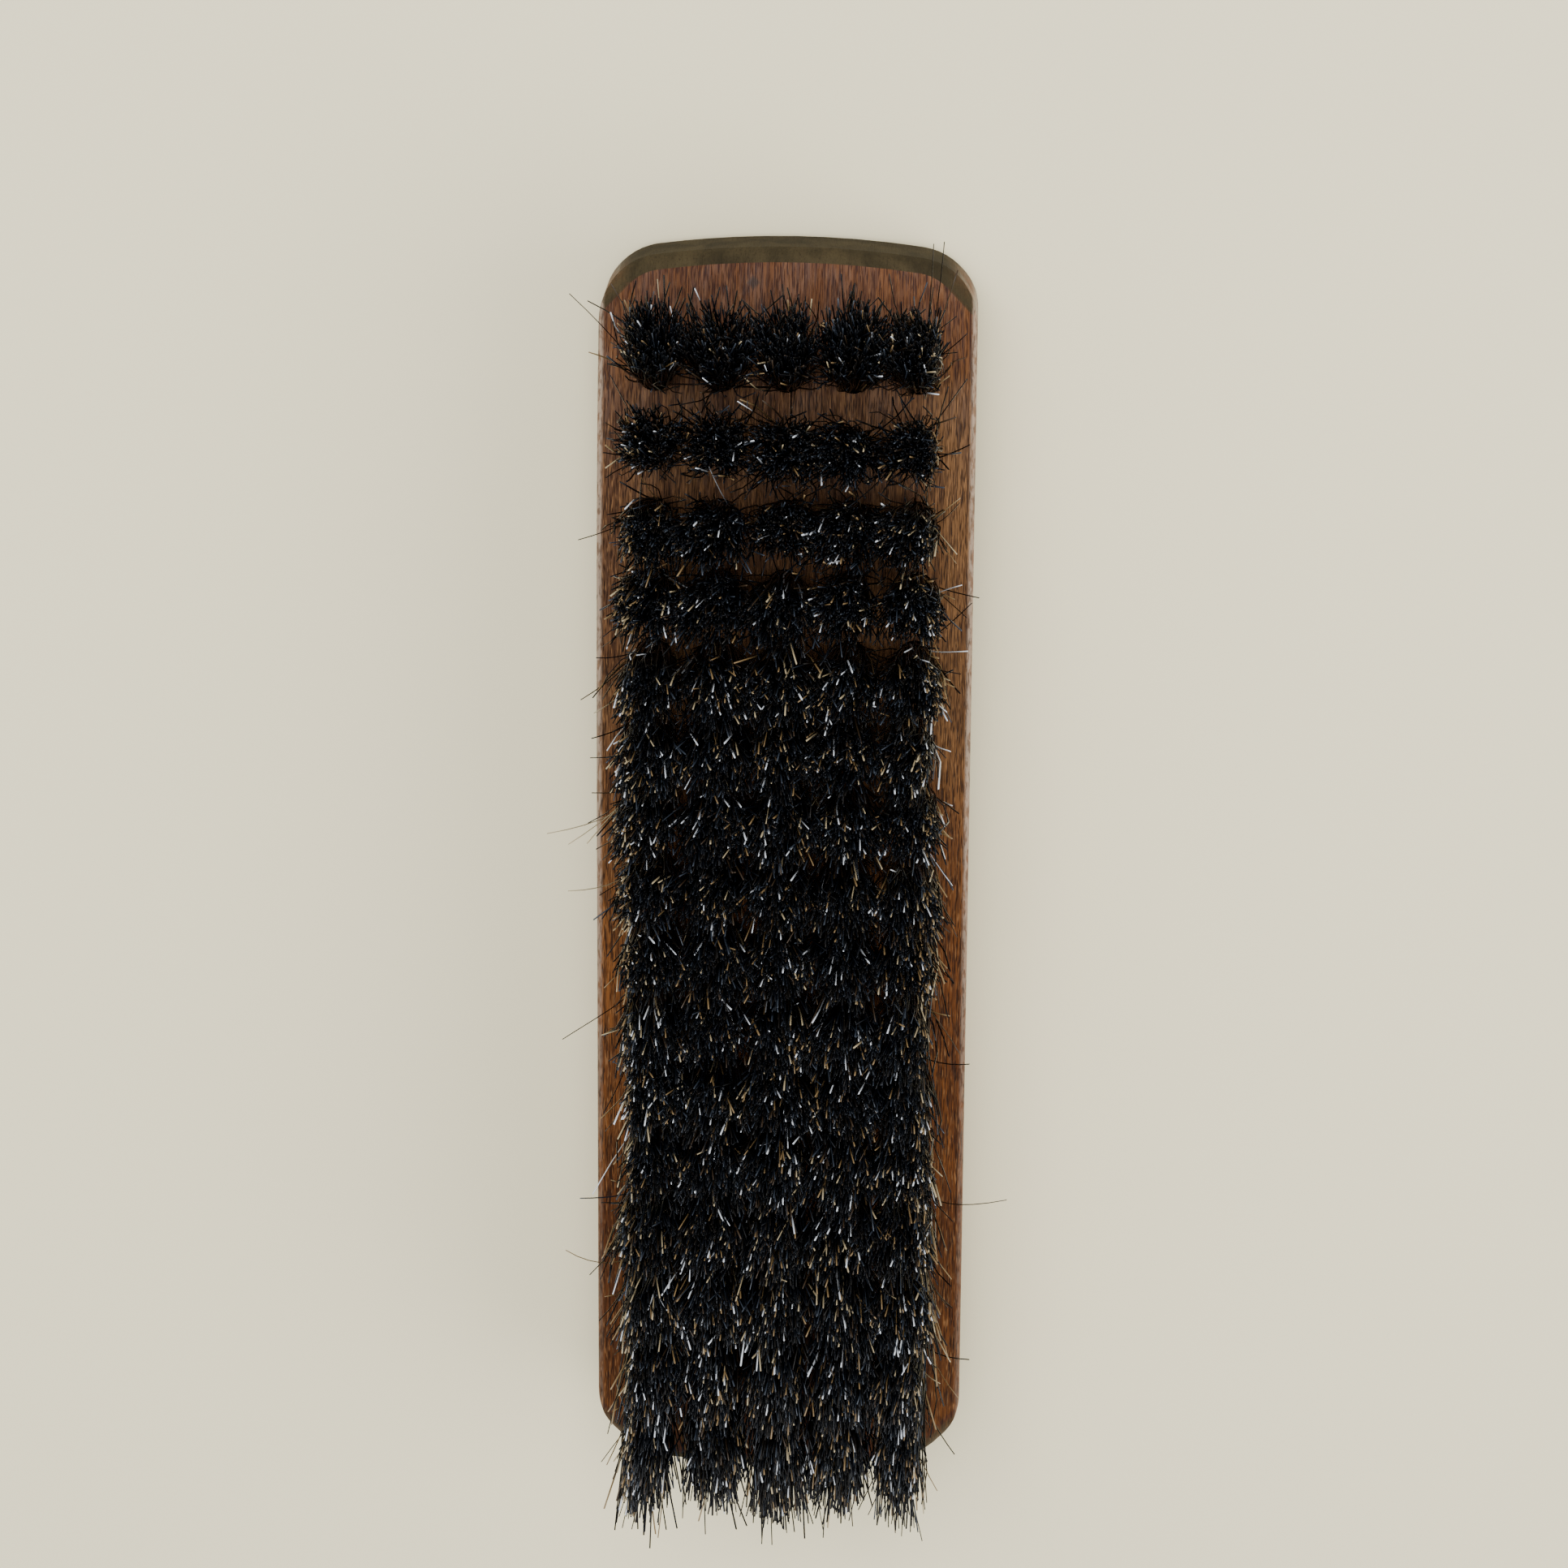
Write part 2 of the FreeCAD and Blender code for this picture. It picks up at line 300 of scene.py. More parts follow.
def face_colour(g, px, py, streaks, pores):
    """The bristle face: red, with painted shade deepening it towards the thick end, browner at the thin
    half with a painted sheen, and lighter and warmer near the thin end with painted light, with dark
    streaks and pores along the grain.
    """
    tone = g.steps(g.noise((30 * MM, 5 * MM, 5 * MM), 3, 0.5, 0.3), 0.3, 0.7)
    # painted shade: the red deepens towards the thick end
    red = g.mix(g.steps(px, -25 * MM, -60 * MM, 0.0, 0.55), g.mix(tone, *FACE_RED), FACE_SHADE_RED)
    # painted sheen: the thin half turns paler brown
    sheen_half = g.times(g.steps(px, -15 * MM, 30 * MM), g.steps(px, 82 * MM, 66 * MM, 0.35, 1.0))
    colour = g.mix(sheen_half, red, g.mix(tone, *FACE_SHEEN_BROWN))
    # painted light: a lighter, warmer band near the thin end
    colour = g.mix(g.steps(px, 66 * MM, 74 * MM, 0.0, 0.70), colour, FACE_LIGHT_WARM)
    colour = g.mix(g.steps(streaks, 0.38, 0.64, 0.0, 0.60), colour, FACE_STREAK)
    colour = g.mix(g.steps(pores, 0.48, 0.64, 0.0, 0.82), colour, FACE_PORE)
    fibres = g.noise((1.8 * MM, 0.18 * MM, 5 * MM), 1, 0.5, 0.1, 12.3)
    colour = g.mix(g.steps(fibres, 0.56, 0.72, 0.0, 0.4), colour, FACE_FIBRE)
    from_spot_x = g.math("ABSOLUTE", g.math("SUBTRACT", px, SPOT_X))
    from_spot_y = g.math("ABSOLUTE", g.math("SUBTRACT", py, SPOT_Y))
    spot = g.math("ADD", from_spot_x, from_spot_y)
    return g.mix(g.steps(spot, 1.2 * MM, 0.5 * MM, 0.0, 0.75), colour, SPOT)


def side_colour(g, px, pz):
    """The sides: orange-brown and grey-brown, with pale lines, dark flecks and a ringed knot."""
    patches = g.noise((9 * MM, 9 * MM, 4.5 * MM), 4, 0.6, 0.6, 1.7)
    flecks = g.noise((1.3 * MM, 1.3 * MM, 1.9 * MM), 4, 0.65, 0.3, 5.9)
    hatch = g.noise((0.35 * MM, 0.35 * MM, 1.6 * MM), 3, 0.6, 0.2, 9.1)
    lines = g.noise((5 * MM, 5 * MM, 0.22 * MM), 3, 0.6, 0.1, 4.3)
    colour = g.mix(g.steps(patches, 0.35, 0.68), SIDE_ORANGE, SIDE_GREY)
    colour = g.mix(g.steps(lines, 0.45, 0.75, 0.0, 0.45), colour, SIDE_LINE)
    colour = g.mix(g.steps(hatch, 0.46, 0.70, 0.0, 0.70), colour, SIDE_HATCH)
    dark = g.times(g.steps(flecks, 0.48, 0.64), g.steps(patches, 0.40, 0.60, 0.20, 1.0), 0.85)
    colour = g.mix(dark, colour, SIDE_FLECK)

    knot_x = g.math("DIVIDE", g.math("SUBTRACT", px, KNOT_X), KNOT_LENGTH)
    knot_z = g.math("DIVIDE", g.math("SUBTRACT", pz, KNOT_Z), KNOT_HEIGHT)
    wobble = g.times(g.math("SUBTRACT", patches, 0.5), 1.4)
    knot = g.math("ADD", g.length(knot_x, knot_z), wobble)
    rings = g.steps(g.math("SINE", g.times(knot, 17.0)), -0.6, 0.9, 0.35, 1.0)
    rings = g.times(rings, g.steps(flecks, 0.36, 0.60, 0.3, 1.0))
    return g.mix(g.times(g.steps(knot, 1.15, 0.35, 0.0, 0.85), rings), colour, KNOT)


def back_and_end_colours(g, nz, streaks):
    """The back and the end grain: olive-brown, partly their own tone and partly painted, a reflection of
    the table on the back and shade on the end, with darker streaks and pores, and painted shade where
    the end faces sideways or down.
    """
    cloud = g.steps(g.noise((14 * MM, 5 * MM, 5 * MM), 5, 0.6, 0.4, 8.8), 0.3, 0.7)
    # the back's olive is partly a painted reflection of the table
    back = g.mix(g.steps(streaks, 0.5, 0.75, 0.0, 0.5), g.mix(cloud, *BACK_OLIVE_AND_REFLECTION), BACK_STREAK)
    end_pores = g.noise((0.35 * MM, 0.20 * MM, 0.35 * MM), 3, 0.6, 0.0, 2.2)
    # the end's dark olive is partly painted shade
    end = g.mix(g.steps(end_pores, 0.5, 0.7, 0.0, 0.5), g.mix(cloud, *END_OLIVE_AND_SHADE), END_PORE)
    # painted shade: darker where the end grain faces sideways or down
    end = g.mix(g.steps(nz, 0.0, 0.7, 0.12, 0.0), end, END_PAINTED_SHADE)
    return back, end


def wood_material():
    """Stained and varnished hardwood, with mottled sides, a face with painted shade, sheen and light,
    olive ends and back that are partly painted shade and a painted reflection, and pale worn edges with
    a painted highlight.
    """
    g = Graph("stained_wood")
    nx, ny, nz = g.parts(g.normal)
    px, py, pz = g.parts(g.position)

    # where the surface faces up, down, and out past either end
    face = g.steps(nz, 0.55, 0.9)
    back = g.steps(nz, -0.6, -0.9)
    level = g.length(nx, ny)
    endward = g.math("DIVIDE", g.math("ABSOLUTE", nx), g.math("MAXIMUM", level, 0.01))
    round_end = g.steps(endward, 0.40, 0.93)
    turned = g.math("ADD", level, g.times(g.math("MAXIMUM", nz, 0.0), 0.45))
    end = g.times(g.steps(turned, 0.70, 0.90), round_end)
    # painted shade: a dark rim where the face rounds over into the end
    rim_shade = g.times(g.steps(turned, 0.60, 0.73), g.steps(turned, 0.92, 0.74), face, round_end)

    streaks = g.noise((7 * MM, 0.34 * MM, 9 * MM), 2, 0.5, 0.15, 3.1)
    pores = g.noise((2.2 * MM, 0.155 * MM, 5 * MM), 1, 0.5, 0.1, 7.7)
    back_colour, end_colour = back_and_end_colours(g, nz, streaks)
    colour = g.mix(face, side_colour(g, px, pz), face_colour(g, px, py, streaks, pores))
    colour = g.mix(back, colour, back_colour)
    colour = g.mix(end, colour, end_colour)
    colour = g.mix(g.times(rim_shade, 0.6), colour, FACE_RIM_SHADE)

    # worn, paler long edges with a painted highlight, stronger where they face up and over the thin
    # half, broken up by small nicks
    slant = g.steps(g.math("ABSOLUTE", nz), 0.05, 0.30)
    outer = g.steps(g.math("ABSOLUTE", py), HALF_WIDTH - 0.95 * MM, HALF_WIDTH - 0.40 * MM)
    nicks = g.noise((1.6 * MM, 0.45 * MM, 0.8 * MM), 3, 0.6, 0.0, 6.4)
    upward = g.steps(nz, -0.3, 0.3, 0.45, 1.0)
    thin_half = g.steps(px, -45 * MM, 15 * MM, 0.25, 1.0)
    wear_and_highlight = g.times(slant, outer, g.steps(nicks, 0.38, 0.56, 0.22, 0.70), upward, thin_half)
    colour = g.mix(wear_and_highlight, colour, WORN_EDGE_AND_HIGHLIGHT)

    # varnish: satin, a little uneven
    smears = g.noise((9 * MM, 3 * MM, 3 * MM), 4, 0.6, 0.5, 11.0)
    roughness = g.math("MAXIMUM", g.steps(smears, 0.3, 0.7, 0.42, 0.60), g.times(end, 0.85))
    relief = g.bump(streaks, 0.03 * MM)
    relief = g.bump(g.steps(pores, 0.5, 0.72, 1.0, 0.0), 0.04 * MM, relief)
    relief = g.bump(g.times(nicks, wear_and_highlight), 0.15 * MM, relief)

    # a glossier coat on the sides, a thin one on the back, and none at the end corners
    corner = g.times(g.steps(endward, 0.2, 0.5), g.steps(level, 0.3, 0.6))
    coat = g.times(g.steps(nz, 0.5, 0.1, 0.0, 0.6), g.math("SUBTRACT", 1.0, corner))
    coat = g.times(coat, g.steps(nz, -0.9, -0.5, 0.3, 1.0))
    return g.finish(
        Base_Color=colour,
        Roughness=roughness,
        Normal=relief,
        Specular_IOR_Level=0.13,
        Coat_Weight=coat,
        Coat_Roughness=0.24,
    )


# ---------------------------------------------------------------- the other materials


def label_material():
    """A thin glossy film, blank, with a faint unevenness from the glue under it."""
    g = Graph("label_film")
    tint = g.noise((22 * MM, 12 * MM, 12 * MM), 4, 0.55, 0.4)
    colour = g.mix(g.steps(tint, 0.3, 0.7), (0.52, 0.50, 0.42), (0.60, 0.58, 0.50))
    fibres = g.noise((3.5 * MM, 0.5 * MM, 0.5 * MM), 3, 0.6, 0.0, 3.3)
    colour = g.mix(g.steps(fibres, 0.55, 0.75, 0.0, 0.2), colour, (0.40, 0.37, 0.29))
    scuffs = g.noise((6 * MM, 1.2 * MM, 1.2 * MM), 4, 0.6, 0.2, 5.5)
    return g.finish(
        Base_Color=colour,
        Roughness=g.steps(scuffs, 0.45, 0.75, 0.10, 0.24),
        Normal=g.bump(tint, 0.10 * MM),
        Coat_Weight=0.6,
        Coat_Roughness=0.06,
    )


def wire_material():
    """Drawn wire: fine lines along its length and a little tarnish."""
    g = Graph("anchor_wire")
    tarnish = g.noise((1.5 * MM, 1.5 * MM, 1.5 * MM), 4, 0.6, 0.3)
    drawn = g.noise((0.05 * MM, 3 * MM, 0.05 * MM), 2, 0.5)
    return g.finish(
        Base_Color=g.mix(g.steps(tarnish, 0.4, 0.7), (0.52, 0.50, 0.47), (0.33, 0.30, 0.26)),
        Roughness=g.steps(drawn, 0.3, 0.7, 0.28, 0.48),
        Normal=g.bump(drawn, 0.01 * MM),
        Metallic=1.0,
    )


def hair_materials():
    """One material for each colour of the hair; slate is a painted blue-grey sheen on black hair and
    silver partly a painted glint.
    """
    made = []
    for name, (_, colour, roughness, specular) in HAIR_COLOURS.items():
        material = bpy.data.materials.new(name)
        material.use_nodes = True
        shader = material.node_tree.nodes["Principled BSDF"]
        shader.inputs["Base Color"].default_value = (*colour, 1.0)
        shader.inputs["Roughness"].default_value = roughness
        shader.inputs["Specular IOR Level"].default_value = specular
        made.append(material)
    return made


def floor_material():
    """A plain pale table."""
    g = Graph("studio_floor")
    tone = g.noise((0.9, 0.9, 0.9), 2, 0.5)
    return g.finish(Base_Color=g.mix(tone, (0.80, 0.705, 0.46), (0.85, 0.755, 0.50)), Roughness=0.75)


# ---------------------------------------------------------------- where the tufts are


class Tuft:
    """A tuft's place: its hole's bottom and mouth, its axis, and two directions square to that."""

    def __init__(self, bottom, axis):
        self.bottom = bottom
        self.mouth = bottom + axis * HOLE_DEPTH
        self.axis = axis
        along = np.array([axis[2], 0.0, -axis[0]])
        self.along = along / np.linalg.norm(along)
        self.side = np.array([0.0, 1.0, 0.0])

    def points(self, flat, up):
        """Points that stand flat off the axis, along and across the brush, and up from the mouth."""
        beside = self.mouth + flat[..., :1] * self.along + flat[..., 1:] * self.side
        return beside + up[..., None] * self.axis


def tufts_of(node):
    """The tufts of a row, read from the bottoms of the row's solids."""
    mesh = node.data
    count = len(mesh.polygons)
    normal, centre, area = np.empty(3 * count), np.empty(3 * count), np.empty(count)
    mesh.polygons.foreach_get("normal", normal)
    mesh.polygons.foreach_get("center", centre)
    mesh.polygons.foreach_get("area", area)
    normal, centre = normal.reshape(-1, 3), centre.reshape(-1, 3)
    column = np.rint(centre[:, 1] / COLUMN_PITCH + MIDDLE_COLUMN).astype(int)
    tufts = []
    for c in range(COLUMNS):
        mine = column == c
        lowest = centre[mine, 2].min()
        bottom = mine & (normal[:, 2] < -0.9) & (centre[:, 2] < lowest + HOLE_RADIUS * 0.8)
        weight = area[bottom][:, None]
        middle = (centre[bottom] * weight).sum(0) / weight.sum()
        axis = -(normal[bottom] * weight).sum(0)
        tufts.append(Tuft(middle, axis / np.linalg.norm(axis)))
    return tufts


def trim_height(nodes):
    """The height of the trimmed ends as a function of x, fitted to the tops of the tufts' solids.

    x is held near the range of those tops, because the fit runs wild outside it.
    """
    points = []
    for node in nodes:
        mesh = node.data
        middle = (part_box(node.name)[0].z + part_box(node.name)[1].z) / 2
        points += [tuple(p.center) for p in mesh.polygons if p.normal.z > 0.9 and p.center.z > middle]
    points = np.array(points)
    scale = np.abs(points[:, 0]).max()
    curve = np.polyfit(points[:, 0] / scale, points[:, 2], 7)
    return lambda x: np.polyval(curve, np.clip(x / scale, -1.05, 1.05))


# ---------------------------------------------------------------- hairs


def ramp(x, start, length):
    """0 up to start, then rising to 1 over the length."""
    return np.clip((x - start) / length, 0, 1)


def some(rng, n, share):
    """Picks each of n hairs with a chance of share."""
    return rng.uniform(0, 1, n) < share


def circle(angle):
    return np.stack([np.cos(angle), np.sin(angle)], 1)


def splay_at(x):
    """How far use has pushed a tuft's tips towards the thick end. It is below 0 near the thin end."""
    most, start, length = THIN_END_SPLAY if x > 0 else THICK_END_SPLAY
    return -np.sign(x) * most * max(0.0, (abs(x) - start) / length) ** 2


def fanned_tips(rng, root):
    """How far off the axis each hair's tip stands: fanned out and gathered into wisps, a few apart."""
    n = len(root)
    own_reach = TIP_REACH * rng.uniform(*FAN_RANGE, 2)
    tip = root * (own_reach / HOLE_RADIUS)
    wisps = rng.normal(0, 0.5, (WISPS, 2)) * own_reach
    nearest = np.argmin(np.linalg.norm(tip[:, None] - wisps[None], axis=2), axis=1)
    pull = rng.uniform(0, WISP_PULL, n)[:, None]
    tip = tip * (1 - pull) + wisps[nearest] * pull
    tip += rng.normal(0, TIP_SCATTER, (n, 2))
    apart = some(rng, n, APART_SHARE)
    tip[apart] += rng.normal(0, APART_SCATTER, (apart.sum(), 2)) * (1.0, 1.25)  # more across the brush
    return tip


def hold_in(rng, tip, outward, x):
    """Draws the tips of an outer column back over the block, apart from a few that escape outward."""
    tip[:, 1] -= outward * HELD_IN * np.maximum(outward * tip[:, 1] - OUTER_REACH, 0)
    at_thick_end = ramp(-x, 0, 60 * MM)
    escaped = some(rng, len(tip), ESCAPED_SHARE + THICK_END_ESCAPED_SHARE * at_thick_end)
    tip[escaped, 0] -= at_thick_end * rng.uniform(0, ESCAPED_ENDWARD, escaped.sum())
    tip[escaped, 1] += outward * rng.uniform(*ESCAPED_REACH, escaped.sum())


def splay_out(rng, tip, x):
    """How far each tip is splayed by use: most nearest the end. The thick end's tips also close up."""
    splay = splay_at(x)
    if splay > 0:
        tip[:, 1] *= 1 - CLOSING_UP * splay
        return splay * (np.clip(0.75 - tip[:, 0] / TIP_REACH[0], 0.1, 1.5) + rng.normal(0, 0.3))
    return splay * np.clip(0.75 + 0.6 * tip[:, 0] / TIP_REACH[0], 0.35, 1.15)


def hair_heights(rng, tuft, tip, splay, trim):
    """How far up each hair ends: at the trim, most a little under it and some well under it."""
    n = len(tip)
    height = np.full(n, HAIR_HEIGHT)
    for _ in range(4):  # each round comes closer to the trim, which isn't level
        end = tuft.points(tip, height)
        height += (trim(end[:, 0]) - end[:, 2]) / tuft.axis[2]
    short = rng.exponential(BELOW_TRIM, n) + np.maximum(splay, 0) ** 2 / SPLAY_LOSS
    broken = some(rng, n, BROKEN_SHARE)
    short[broken] += rng.uniform(0, BROKEN_LENGTH, broken.sum())
    return np.maximum(height - short, SHORTEST_HAIR)


def hair_paths(rng, tuft, outward, trim):
    """The points of a tuft's hairs: (hairs, levels, 3). outward is -1 or 1 in an outer column."""
    n = HAIRS_PER_TUFT
    angle = rng.uniform(0, 2 * math.pi, n)
    reach = np.sqrt(rng.uniform(0, 1, n))
    root = circle(angle) * (reach * HOLE_RADIUS * ROOT_SPREAD)[:, None]
    tip = fanned_tips(rng, root)
    if outward:
        hold_in(rng, tip, outward, tuft.mouth[0])
    splay = splay_out(rng, tip, tuft.mouth[0])
    push = np.tile(rng.normal(0, TUFT_SWAY, 2).clip(-MOST_SWAY, MOST_SWAY), (n, 1))
    push[:, 0] -= splay
    height = hair_heights(rng, tuft, tip + push, splay, trim)[:, None]

    # from the root up, each hair spreads to its tip, bows, and kinks in its last quarter
    bow = rng.normal(0, BEND, (n, 2))
    kink = rng.normal(0, BEND, (n, 2))
    spread = rng.uniform(0.72, 1.15, n)[:, None]
    up = -ROOT_DEPTH + (height + ROOT_DEPTH) * LEVELS[None, :]
    s = np.clip(up / height, 0, 1)
    flat = root[:, None] + (tip - root)[:, None] * (s**spread)[..., None]
    flat = flat + push[:, None] * (s**1.25)[..., None]
    bent = bow[:, None] * (4 * s * (1 - s))[..., None]
    flat += bent + kink[:, None] * np.clip(4 * s - 3, 0, 1)[..., None]
    return tuft.points(flat, up)


def stray_paths(rng, tuft, column):
    """A few loose hairs that bend away from their tuft, outward on either side of the middle column."""
    outward = np.sign(column - MIDDLE_COLUMN)
    outermost = abs(column - MIDDLE_COLUMN) == MIDDLE_COLUMN
    at_thin_end = ramp(tuft.mouth[0], THIN_END_ROWS, 15 * MM)
    n = OUTER_STRAYS + int(OUTER_STRAYS * at_thin_end) if outermost else STRAYS
    root = circle(rng.uniform(0, 2 * math.pi, n)) * HOLE_RADIUS * 0.8
    aside = outward * (2 * MM + rng.exponential(2.2 * MM, n).clip(0, 7 * MM))
    toward_end = STRAY_ENDWARD * at_thin_end * outermost
    lean = np.stack([toward_end + rng.normal(0, STRAY_LEAN, n), aside], 1)
    lean += rng.normal(0, STRAY_SCATTER, (n, 2))
    height = rng.uniform(*STRAY_HEIGHT, n)[:, None]
    curl = rng.normal(0, STRAY_CURL, (n, 2))
    s = STRAY_LEVELS[None, :]
    droop = (STRAY_DROOP * np.linalg.norm(lean, axis=1))[:, None]
    up = -ROOT_DEPTH + (height + ROOT_DEPTH) * s - droop * s**3
    flat = root[:, None] + lean[:, None] * (s**1.7)[..., None] + curl[:, None] * (s**3)[..., None]
    return tuft.points(flat, up)


def hair_colours(rng, overhang, x):
    """The colours of a tuft's hairs and of their tips, which lean outward by overhang, at x."""
    n = len(overhang)
    outside = overhang > OUTSIDE
    at_thin_end = ramp(x, 35 * MM, 25 * MM)
    at_thick_end = ramp(-x, 20 * MM, 40 * MM)

    def repaint(colours, chosen, palette):
        colours[chosen] = rng.choice(palette, chosen.sum())

    outer = rng.choice(len(SHARES), n, p=OUTER_SHARES)
    colour = np.where(outside, outer, rng.choice(len(SHARES), n, p=SHARES))
    dulled = (colour >= TAN) & some(rng, n, DULLED_SHARE * at_thin_end)
    repaint(colour, dulled, [BROWN_BLACK, SLATE_SHEEN, DARK_BROWN, DARK_BROWN])
    fringe = (overhang > FRINGE) & some(rng, n, FRINGE_SHARE * at_thick_end)
    repaint(colour, fringe, [DARK_BROWN, TAN, TAN, STRAW])

    tip_colour = colour.copy()
    lighter = some(rng, n, LIGHT_TIPS + THICK_END_LIGHT_TIPS * at_thick_end)
    repaint(tip_colour, lighter, [SLATE_SHEEN, DARK_BROWN, TAN, TAN, STRAW, SILVER_AND_GLINT])
    darker = (colour >= SLATE_SHEEN) & some(rng, n, np.where(outside, OUTER_DARK_TIPS, 1.0) * DARK_TIPS)
    repaint(tip_colour, darker, [BLUE_BLACK, BLACK, BLACK, BROWN_BLACK])
    return colour, tip_colour


# ---------------------------------------------------------------- meshes of hair


def tubes(paths, radius, rng):
    """Closed three-sided tubes round the paths: points, side faces and end faces."""
    hairs, levels = paths.shape[:2]
    run = np.gradient(paths, axis=1)
    run /= np.linalg.norm(run, axis=2, keepdims=True)
    first = np.cross(run, np.array([0.0, 1.0, 0.0]))
    first /= np.linalg.norm(first, axis=2, keepdims=True)
    second = np.cross(run, first)
    around = np.arange(TUBE_SIDES)
    turn = rng.uniform(0, 2 * math.pi, hairs)[:, None, None] + around * (2 * math.pi / TUBE_SIDES)
    taper = np.linspace(1.0, TIP_TAPER, levels)[None, :, None]
    ring = radius[:, None, None] * taper * np.ones((hairs, levels, TUBE_SIDES))
    points = paths[:, :, None] + (ring * np.cos(turn))[..., None] * first[:, :, None]
    points = points + (ring * np.sin(turn))[..., None] * second[:, :, None]

    start = (np.arange(hairs) * levels * TUBE_SIDES)[:, None, None]
    ring_start = start + (np.arange(levels - 1) * TUBE_SIDES)[None, :, None]
    here = ring_start + around
    beside = ring_start + (around + 1) % TUBE_SIDES
    sides = np.stack([here, beside, beside + TUBE_SIDES, here + TUBE_SIDES], -1)
    last = start[:, 0] + (levels - 1) * TUBE_SIDES
    ends = np.stack([start[:, 0] + around[::-1], last + around], 1)
    return points.reshape(-1, 3), sides.reshape(hairs, -1, 4), ends


class HairMesh:
    """Gathers tubes of hair, each with one colour for its shaft and one for its tip, into one mesh."""

    def __init__(self):
        self.points, self.quads, self.triangles = [], [], []
        self.quad_slots, self.triangle_slots = [], []
        self.count = 0

    def add(self, paths, radius, colour, tip_colour, rng):
        points, sides, ends = tubes(paths, radius, rng)
        self.points.append(points)
        self.quads.append((sides + self.count).reshape(-1, 4))
        self.triangles.append((ends + self.count).reshape(-1, 3))
        slots = np.repeat(colour[:, None], sides.shape[1], axis=1)
        slots[:, -TUBE_SIDES:] = tip_colour[:, None]
        self.quad_slots.append(slots.ravel())
        self.triangle_slots.append(np.stack([colour, tip_colour], 1).ravel())
        self.count += len(points)

    def build(self, name, materials):
        points = np.concatenate(self.points)
        quads = np.concatenate(self.quads)
        triangles = np.concatenate(self.triangles)
        slots = np.concatenate(self.quad_slots + self.triangle_slots)
        corners = np.concatenate([quads.ravel(), triangles.ravel()])
        starts = np.concatenate([np.arange(len(quads)) * 4, quads.size + np.arange(len(triangles)) * 3])
        mesh = bpy.data.meshes.new(name)
        mesh.vertices.add(len(points))
        mesh.vertices.foreach_set("co", points.ravel())
        mesh.loops.add(len(corners))
        mesh.loops.foreach_set("vertex_index", corners.astype(np.int32))
        mesh.polygons.add(len(starts))
        mesh.polygons.foreach_set("loop_start", starts.astype(np.int32))
        for material in materials:
            mesh.materials.append(material)
        mesh.polygons.foreach_set("material_index", slots.astype(np.int32))
        mesh.polygons.foreach_set("use_smooth", np.ones(len(slots), dtype=bool))
        mesh.update(calc_edges=True)
        mesh.validate()
        return mesh


def row_of_hair(name, node, trim, materials, rng):
    """One mesh with all the hair of a row."""
    hair = HairMesh()
    for column, tuft in enumerate(tufts_of(node)):
        outward = {0: -1, COLUMNS - 1: 1}.get(column, 0)
        x, y = tuft.bottom[:2]
        paths = hair_paths(rng, tuft, outward, trim)
        colour, tip_colour = hair_colours(rng, outward * (paths[:, -1, 1] - y), x)
        thick = np.where(tip_colour >= TAN, PALE_THICKNESS, 1.0)
        radius = HAIR_RADIUS * rng.uniform(*THICKNESS, len(paths)) * thick
        hair.add(paths, radius, colour, tip_colour, rng)

        paths = stray_paths(rng, tuft, column)
        shares = THIN_END_STRAY_SHARES if x > THIN_END_ROWS else STRAY_SHARES
        colour = rng.choice(len(shares), len(paths), p=shares)
        radius = HAIR_RADIUS * rng.uniform(*STRAY_THICKNESS, len(paths))
        hair.add(paths, radius, colour, colour, rng)

    piece = bpy.data.objects.new(name, hair.build(name, materials))
    bpy.context.scene.collection.objects.link(piece)
    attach(piece, "root")
    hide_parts(node.name)
    return piece


def make_hair():
    nodes = [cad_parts[n] for n in sorted(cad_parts) if n.startswith("tuft_row_")]
    trim = trim_height(nodes)
    materials = hair_materials()
    for number, node in enumerate(nodes, 1):
        rng = np.random.default_rng(HAIR_SEED + number)
        row_of_hair("hair_row_%02d" % number, node, trim, materials, rng)


# ---------------------------------------------------------------- the rest of the scene


def dress_cad_nodes():
    """Gives the pieces that keep their CAD shape their materials."""
    wood, film, wire = wood_material(), label_material(), wire_material()
    for name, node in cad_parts.items():
        if name.startswith("tuft_row_"):
            continue
        material = wood if name == "block" else film if name == "back_label" else wire
        for slot in node.material_slots:
            slot.material = material


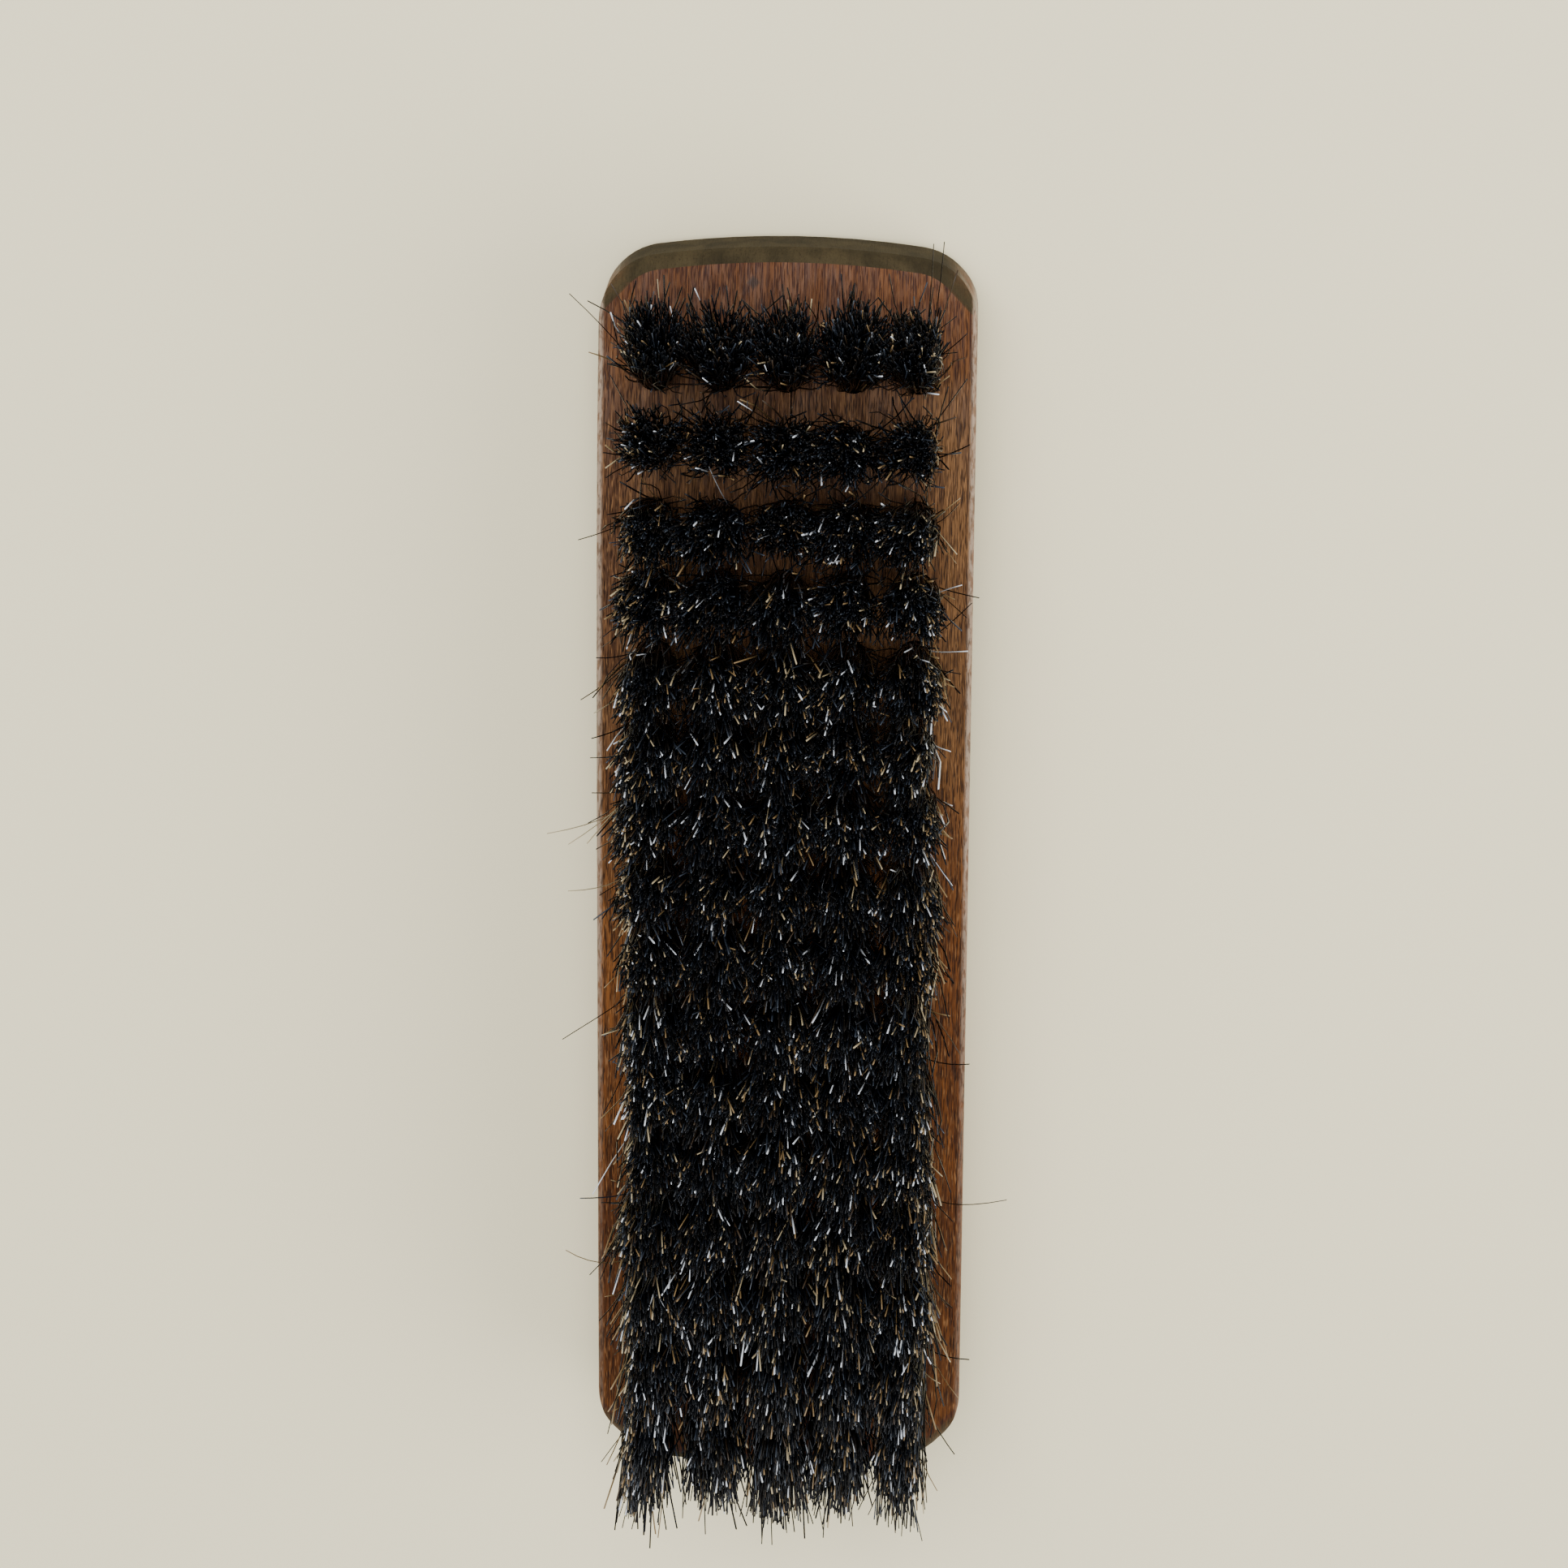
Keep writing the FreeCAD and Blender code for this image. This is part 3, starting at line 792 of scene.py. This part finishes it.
def make_floor():
    """A wide table at the level of the brush's lowest point."""
    bpy.ops.mesh.primitive_plane_add(size=FLOOR_SIZE, location=(0, 0, CAD_BOX[0].z))
    floor = bpy.context.object
    floor.name = "studio_floor"
    floor.data.materials.append(floor_material())


def make_light():
    """A pale sky, a soft window light past the thin end, and a weaker fill from one side."""
    world = bpy.data.worlds.new("sky")
    bpy.context.scene.world = world
    world.use_nodes = True
    background = world.node_tree.nodes["Background"]
    background.inputs["Color"].default_value = (0.86, 0.92, 1.0, 1.0)
    background.inputs["Strength"].default_value = 0.72

    def area(name, location, size, power, colour):
        """A soft light aimed at the brush."""
        data = bpy.data.lights.new(name, "AREA")
        data.shape = "RECTANGLE"
        data.size, data.size_y = size
        data.energy = power
        data.color = colour
        lamp = bpy.data.objects.new(name, data)
        bpy.context.scene.collection.objects.link(lamp)
        lamp.location = location
        lamp.rotation_euler = (Vector((0, 0, 0)) - Vector(location)).to_track_quat("-Z", "Y").to_euler()

    area("window", location=(0.50, 0.12, 1.40), size=(0.9, 0.9), power=28, colour=(0.97, 0.985, 1.0))
    area("fill", location=(-0.2, -0.9, 1.0), size=(1.0, 1.0), power=12, colour=(1.0, 0.98, 0.95))


def make_camera():
    """Looks down at the brush, with its thin end up in the picture."""
    data = bpy.data.cameras.new("camera")
    data.lens = LENS
    data.sensor_width = SENSOR_WIDTH
    data.clip_start = 0.01
    camera = bpy.data.objects.new("camera", data)
    bpy.context.scene.collection.objects.link(camera)
    back = (CAMERA_PLACE - CAMERA_TARGET).normalized()
    level_up = Vector((1, 0, 0))
    level_up = (level_up - level_up.dot(back) * back).normalized()
    level_right = level_up.cross(back)
    right = level_right * math.cos(CAMERA_ROLL) + level_up * math.sin(CAMERA_ROLL)
    up = level_up * math.cos(CAMERA_ROLL) - level_right * math.sin(CAMERA_ROLL)
    turn = Matrix((right, up, back)).transposed().to_4x4()
    camera.matrix_world = Matrix.Translation(CAMERA_PLACE) @ turn
    bpy.context.scene.camera = camera


make_camera()
dress_cad_nodes()
make_hair()
make_floor()
make_light()
